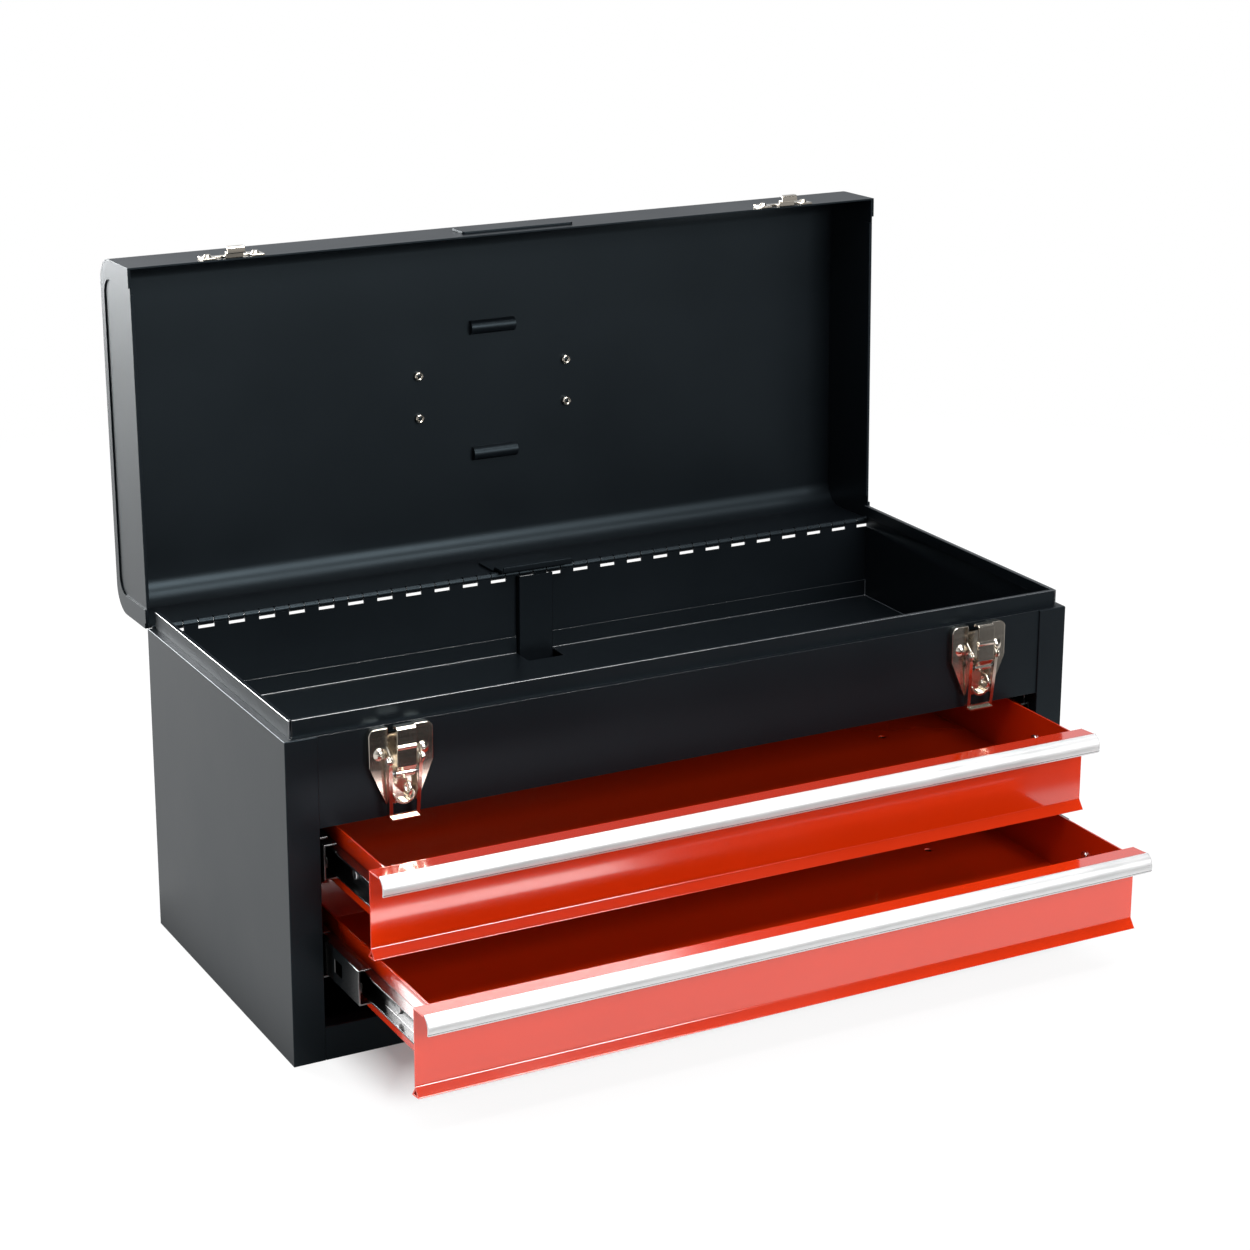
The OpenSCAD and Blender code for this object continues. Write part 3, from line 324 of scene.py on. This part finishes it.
def weighEdges(obj, sizes):
    # Bends, hems, long edges and corners each get their own size
    widest = max(sizes["bend"], sizes["hem"], sizes["edge"], sizes["corner"])
    mesh = bmesh.new()
    mesh.from_mesh(obj.data)
    ankle = lowest(obj, mesh.verts) + sizes["foot"]
    layer = mesh.edges.layers.float.new("bevel_weight_edge")
    for item in mesh.edges:
        if len(item.link_faces) != 2 or item.calc_face_angle(0) < math.radians(angles["sharp"]):
            continue
        if sizes["foot"] and (lowest(obj, item.verts) < ankle or not item.is_convex):
            continue
        widths = [faceWidth(face) for face in item.link_faces]
        if min(widths) > sizes["thin"]:
            folded = item.calc_face_angle(0) > math.radians(angles["folded"])
            item[layer] = sizes["hem" if folded else "bend"] / widest
        elif max(widths) <= sizes["thin"] and item.calc_length() < sizes["thin"]:
            item[layer] = sizes["corner"] / widest
        else:
            item[layer] = sizes["edge"] / widest
    mesh.to_mesh(obj.data)
    mesh.free()
    return widest


def dressSheet(node, changes):
    sizes = {**sheet, **changes}
    obj = copyNode(node)
    widest = weighEdges(obj, sizes)
    # The bevel faces take the lighter edge finish, a painted highlight along the edges
    if sizes["worn"]:
        obj.data.materials.append(finishes["blackEdge"])
    applyModifier(obj, "BEVEL", width=widest, segments=sizes["segments"], limit_method="WEIGHT",
                  use_clamp_overlap=sizes["clamp"], miter_outer="MITER_ARC", loop_slide=False,
                  material=1 if sizes["worn"] else -1)
    smoothFaces(obj)
    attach(obj, bodyOf[node])
    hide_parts(node)


drawerFront = {"bend": 0.0022, "hem": 0.0036, "segments": 8}
drawerScrews = {"bend": 0.0008, "edge": 0.0008, "corner": 0.0008}
latchBase = {"bend": 0.0005, "edge": 0.0005, "corner": 0.0005, "clamp": False, "foot": 0.003}
latchPlate = {"bend": 0.0005, "edge": 0.0003}
striker = {"bend": 0.0006, "edge": 0.0003}
slideRail = {"bend": 0.0006, "edge": 0.0002}
sheetPieces = {
    "left_side": {}, "right_side": {}, "back_panel": {"corner": 0.0012},
    "bottom_panel": {}, "front_sill": {},
    # The fascia and the tray rim carry the painted edge highlight
    "fascia": {"bend": 0.0012, "worn": True},
    "tote_tray": {"bend": 0.0013, "edge": 0.0003, "worn": True},
    "lid_shell": {"bend": 0.0008, "edge": 0.0003}, "lid_end_left": {}, "lid_end_right": {},
    "lock_push_plate": {}, "lock_bar": {}, "badge_plate": {"bend": 0.0006},
    "upper_drawer_box": {}, "lower_drawer_box": {},
    "upper_drawer_front": drawerFront, "lower_drawer_front": drawerFront,
    "upper_drawer_pull": {"edge": 0.0004}, "lower_drawer_pull": {"edge": 0.0004},
    "slide_bracket_left": {}, "slide_bracket_right": {},
    "upper_drawer_screws": drawerScrews, "lower_drawer_screws": drawerScrews,
    "latch_base_left": latchBase, "latch_base_right": latchBase,
    "latch_lever_left": latchPlate, "latch_lever_right": latchPlate,
    "latch_claw_left": latchPlate, "latch_claw_right": latchPlate,
    "striker_left": striker, "striker_right": striker,
    "handle_bracket_left": {"bend": 0.0005}, "handle_bracket_right": {"bend": 0.0005},
}
for tier in ("upper", "lower"):
    for side in ("left", "right"):
        for rail in ("cabinet", "middle", "drawer"):
            sheetPieces[tier + "_" + rail + "_rail_" + side] = slideRail
for name, changes in sheetPieces.items():
    dressSheet(name, changes)
print("sheet pieces rounded:", len(sheetPieces))

# The pin that carries each claw is darker than the lever it belongs to
clawPin = {"x": 0.189, "y": -0.116, "z": 0.164, "radius": 0.0017, "half": 0.0088}


def shadeClawPin(obj, middle):
    obj.data.materials.append(finishes["darkZinc"])
    for face in obj.data.polygons:
        place = obj.matrix_world @ face.center
        near = math.hypot(place.y - clawPin["y"], place.z - clawPin["z"]) < clawPin["radius"]
        if near and abs(place.x - middle) < clawPin["half"]:
            face.material_index = 1


shadeClawPin(bpy.data.objects["latchLeverLeft"], -clawPin["x"])
shadeClawPin(bpy.data.objects["latchLeverRight"], clawPin["x"])
print("claw pins shaded")

# Rivet eyelets inside the lid, laid out on the closed lid and turned open with it
hinge = {"y": 0.11045, "z": 0.189, "open": 91.4}
lidTurn = Matrix.Rotation(math.radians(-hinge["open"]), 4, "X")
lidMatrix = Matrix.Translation((0, hinge["y"], hinge["z"])) @ lidTurn
eyelets = {
    "x": (-0.052, 0.052), "deep": (-0.0948, -0.1222), "face": 0.0499,
    "ring": 0.0021, "wire": 0.0009, "ringSteps": 32, "wireSteps": 12,
    "hollow": 0.0016, "flatten": 0.25, "hollowSteps": 24, "hollowRings": 12,
    "smooth": 50,  # in degrees
}


def joinAll(parts, name):
    deselectAll()
    for part in parts:
        part.select_set(True)
    bpy.context.view_layer.objects.active = parts[0]
    bpy.ops.object.join()
    obj = bpy.context.object
    obj.name = name
    return obj


def settle(obj):
    # Bakes the object's place and turn into its mesh
    obj.data.transform(obj.matrix_basis)
    obj.matrix_basis = Matrix()
    return obj


def addEyelets(name, finish, makeOne):
    parts = []
    for x in eyelets["x"]:
        for deep in eyelets["deep"]:
            deselectAll()
            makeOne((x, deep, eyelets["face"]))
            parts.append(settle(bpy.context.object))
    obj = joinAll(parts, name)
    obj.data.transform(lidMatrix)
    obj.data.materials.clear()
    obj.data.materials.append(finishes[finish])
    smoothFaces(obj, eyelets["smooth"])
    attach(obj, "lid")


def eyeletRing(place):
    bpy.ops.mesh.primitive_torus_add(
        major_radius=eyelets["ring"], minor_radius=eyelets["wire"],
        major_segments=eyelets["ringSteps"], minor_segments=eyelets["wireSteps"], location=place)


def eyeletHoleShade(place):
    bpy.ops.mesh.primitive_uv_sphere_add(
        segments=eyelets["hollowSteps"], ring_count=eyelets["hollowRings"],
        radius=eyelets["hollow"], location=place)
    bpy.context.object.scale = (1, 1, eyelets["flatten"])


addEyelets("lidRivetRings", "brightNickel", eyeletRing)
# Flattened black domes in the rings: painted shade standing in for the dark hole of each hollow rivet
addEyelets("lidRivetHollows", "blackPowder", eyeletHoleShade)
print("rivet eyelets added")

# A thin dark strip along each pull strip, painted shade standing in for the fine groove rolled into it
pullGrooveShade = {
    "forward": 0.00029, "up": 0.0014, "wide": 0.00045, "deep": 0.0004, "inset": 0.0002,
    "proud": 0.00004, "round": 0.00008, "steps": 2,
    "tilt": -15.5,  # in degrees
}


def addPullGrooveShade(node):
    low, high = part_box(node)
    deselectAll()
    forward = low[1] + pullGrooveShade["forward"] + pullGrooveShade["deep"] / 2 - pullGrooveShade["proud"]
    place = ((low[0] + high[0]) / 2, forward, low[2] + pullGrooveShade["up"])
    bpy.ops.mesh.primitive_cube_add(size=1, location=place)
    obj = bpy.context.object
    obj.scale = (high[0] - low[0] - 2 * pullGrooveShade["inset"], pullGrooveShade["deep"], pullGrooveShade["wide"])
    obj.rotation_euler = (math.radians(pullGrooveShade["tilt"]), 0, 0)
    bpy.context.view_layer.update()
    settle(obj)
    obj.name = camelName(node) + "Line"
    applyModifier(obj, "BEVEL", width=pullGrooveShade["round"], segments=pullGrooveShade["steps"], limit_method="ANGLE")
    # The dark zinc colour is the painted shade of the groove
    obj.data.materials.append(finishes["darkZinc"])
    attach(obj, bodyOf[node])


addPullGrooveShade("upper_drawer_pull")
addPullGrooveShade("lower_drawer_pull")
print("pull lines added")

# The camera, with its angles in degrees and its lens and sensor in millimetres
camera = {
    "place": (-0.7861, -1.4851, 0.7393), "azimuth": -28.14, "elevation": 16.11, "roll": 0.18,
    "lens": 84.5, "sensor": 36, "shiftY": -0.0879,
}


def addCamera():
    azimuth = math.radians(camera["azimuth"])
    elevation = math.radians(camera["elevation"])
    level = math.cos(elevation)
    back = Vector((math.sin(azimuth) * level, -math.cos(azimuth) * level, math.sin(elevation)))
    right = Vector((math.cos(azimuth), math.sin(azimuth), 0))
    up = back.cross(right)
    turn = math.radians(camera["roll"])
    rolledRight = math.cos(turn) * right + math.sin(turn) * up
    rolledUp = math.cos(turn) * up - math.sin(turn) * right
    data = bpy.data.cameras.new("studioCamera")
    data.lens = camera["lens"]
    data.sensor_width = camera["sensor"]
    data.shift_y = camera["shiftY"]
    obj = bpy.data.objects.new("studioCamera", data)
    bpy.context.scene.collection.objects.link(obj)
    turnMatrix = Matrix((rolledRight, rolledUp, back)).transposed().to_4x4()
    obj.matrix_world = Matrix.Translation(camera["place"]) @ turnMatrix
    bpy.context.scene.camera = obj


# The floor. Each range is an axis, where it starts and ends in metres, and its value at either end
floor = {
    "size": 60, "z": -0.0002, "color": (0.9, 0.9, 0.9, 1), "roughness": 0.7,
    "white": (0.35, 1.3, 0.9, 1.0),  # to the camera, by the distance from the middle
    "mirrored": [  # painted reflection: how pale polished faces see it, place by place
        ("Y", -0.372, -0.36, 0.03, 1.0), ("X", 0.4, 0.8, 0.0, 0.35),
        ("Y", -2.2, -1.2, 0.4, 0.0), ("X", -0.55, -0.35, 1.0, 0.0)],
    "shaded": [  # where polished faces see it in shade, under the drawers
        ("outward", 0.235, 0.29, 0.2, 1.0), ("Y", -0.26, -0.2, 1.0, 0.2), ("Y", 0.1, 0.16, 0.2, 1.0)],
    "covered": [  # where the box covers it
        ("outward", 0.2, 0.235, 0.2, 1.0), ("Y", -0.18, -0.13, 1.0, 0.2), ("Y", 0.1, 0.16, 0.2, 1.0)],
}


def cameraOrThrough(tree, path):
    return highest(tree, path.outputs["Is Camera Ray"], path.outputs["Is Transmission Ray"])


def addFloor():
    bpy.ops.mesh.primitive_plane_add(size=floor["size"], location=(0, 0, floor["z"]))
    obj = bpy.context.object
    obj.name = "studioFloor"
    material = bpy.data.materials.new("paleFloor")
    material.use_nodes = True
    tree = material.node_tree
    shader = tree.nodes["Principled BSDF"]
    shader.inputs["Base Color"].default_value = floor["color"]
    shader.inputs["Roughness"].default_value = floor["roughness"]
    glow = tree.nodes.new("ShaderNodeEmission")
    path = tree.nodes.new("ShaderNodeLightPath")
    mix = tree.nodes.new("ShaderNodeMixShader")
    coords = tree.nodes.new("ShaderNodeTexCoord")
    split = tree.nodes.new("ShaderNodeSeparateXYZ")
    tree.links.new(coords.outputs["Object"], split.inputs[0])
    axes = {"X": split.outputs["X"], "Y": split.outputs["Y"],
            "outward": addMath(tree, "ABSOLUTE", split.outputs["X"], 0.0)}

    def palest(ranges):
        return highest(tree, *[addRange(tree, axes[axis], *numbers) for axis, *numbers in ranges])

    # Painted reflection: to polished faces the floor glows pale near the box, dim in front, and pale
    # again at the sides, and darker under the drawers
    mirrored = addMath(tree, "MULTIPLY", palest(floor["mirrored"]), palest(floor["shaded"]))
    tree.links.new(highest(tree, cameraOrThrough(tree, path), mirrored), glow.inputs["Strength"])
    # The camera sees it white far away, with the soft shadow near the box, and dark right under it
    reach = tree.nodes.new("ShaderNodeVectorMath")
    reach.operation = "LENGTH"
    tree.links.new(coords.outputs["Object"], reach.inputs[0])
    white = addRange(tree, reach.outputs["Value"], *floor["white"])
    share = addMath(tree, "MULTIPLY", white, palest(floor["covered"]))
    seen = addMath(tree, "MULTIPLY", path.outputs["Is Camera Ray"], share)
    bounced = [path.outputs["Is Glossy Ray"], path.outputs["Is Transmission Ray"]]
    tree.links.new(highest(tree, seen, *bounced), mix.inputs[0])
    tree.links.new(shader.outputs[0], mix.inputs[1])
    tree.links.new(glow.outputs[0], mix.inputs[2])
    tree.links.new(mix.outputs[0], tree.nodes["Material Output"].inputs["Surface"])
    obj.data.materials.append(material)


# The world: pale behind the box and to its left, dim in front of it, white to the camera
sky = {"color": (0.93, 0.96, 1.0, 1), "sideways": 0.9, "lift": 0.6, "ramp": (-0.5, 0.9, 0.03, 0.9)}


def addWorld():
    world = bpy.data.worlds.new("studioWorld")
    bpy.context.scene.world = world
    world.use_nodes = True
    tree = world.node_tree
    light = tree.nodes["Background"]
    light.inputs["Color"].default_value = sky["color"]
    coords = tree.nodes.new("ShaderNodeTexCoord")
    split = tree.nodes.new("ShaderNodeSeparateXYZ")
    tree.links.new(coords.outputs["Generated"], split.inputs[0])
    sideways = addMath(tree, "MULTIPLY", split.outputs["X"], sky["sideways"])
    lift = addMath(tree, "MULTIPLY", split.outputs["Z"], sky["lift"])
    toBack = addMath(tree, "ADD", addMath(tree, "SUBTRACT", split.outputs["Y"], sideways), lift)
    tree.links.new(addRange(tree, toBack, *sky["ramp"]), light.inputs["Strength"])
    seen = tree.nodes.new("ShaderNodeBackground")
    seen.inputs["Color"].default_value = (1, 1, 1, 1)
    path = tree.nodes.new("ShaderNodeLightPath")
    mix = tree.nodes.new("ShaderNodeMixShader")
    tree.links.new(cameraOrThrough(tree, path), mix.inputs[0])
    tree.links.new(light.outputs[0], mix.inputs[1])
    tree.links.new(seen.outputs[0], mix.inputs[2])
    tree.links.new(mix.outputs[0], tree.nodes["World Output"].inputs["Surface"])


# Each lamp: its place, what it points at, its width and height in metres and its power in watts
lamps = {
    "leftSoftbox": {
        "place": (-1.15, 2.1, 0.7), "target": (0, 0, 0.15), "size": (1.3, 1.3), "power": 125},
    "frontSoftbox": {
        "place": (0.6, -2.45, 1.22), "target": (0, 0, 0.12), "size": (1.1, 1.1), "power": 60},
    "edgeSoftbox": {
        "place": (0.2, -1.15, 2.2), "target": (0, 0, 0.2), "size": (2.0, 0.25), "power": 30},
    "topSoftbox": {
        "place": (0.0, -0.1, 2.4), "target": (0, 0, 0.2), "size": (1.8, 1.8), "power": 40},
}


def addLamp(name, lamp):
    data = bpy.data.lights.new(name, "AREA")
    data.shape = "RECTANGLE"
    data.size, data.size_y = lamp["size"]
    data.energy = lamp["power"]
    obj = bpy.data.objects.new(name, data)
    bpy.context.scene.collection.objects.link(obj)
    direction = Vector(lamp["target"]) - Vector(lamp["place"])
    aim = direction.to_track_quat("-Z", "Y").to_matrix().to_4x4()
    obj.matrix_world = Matrix.Translation(lamp["place"]) @ aim


addCamera()
addFloor()
addWorld()
for name, lamp in lamps.items():
    addLamp(name, lamp)
bpy.context.scene.view_settings.view_transform = "Standard"
print("stage set")
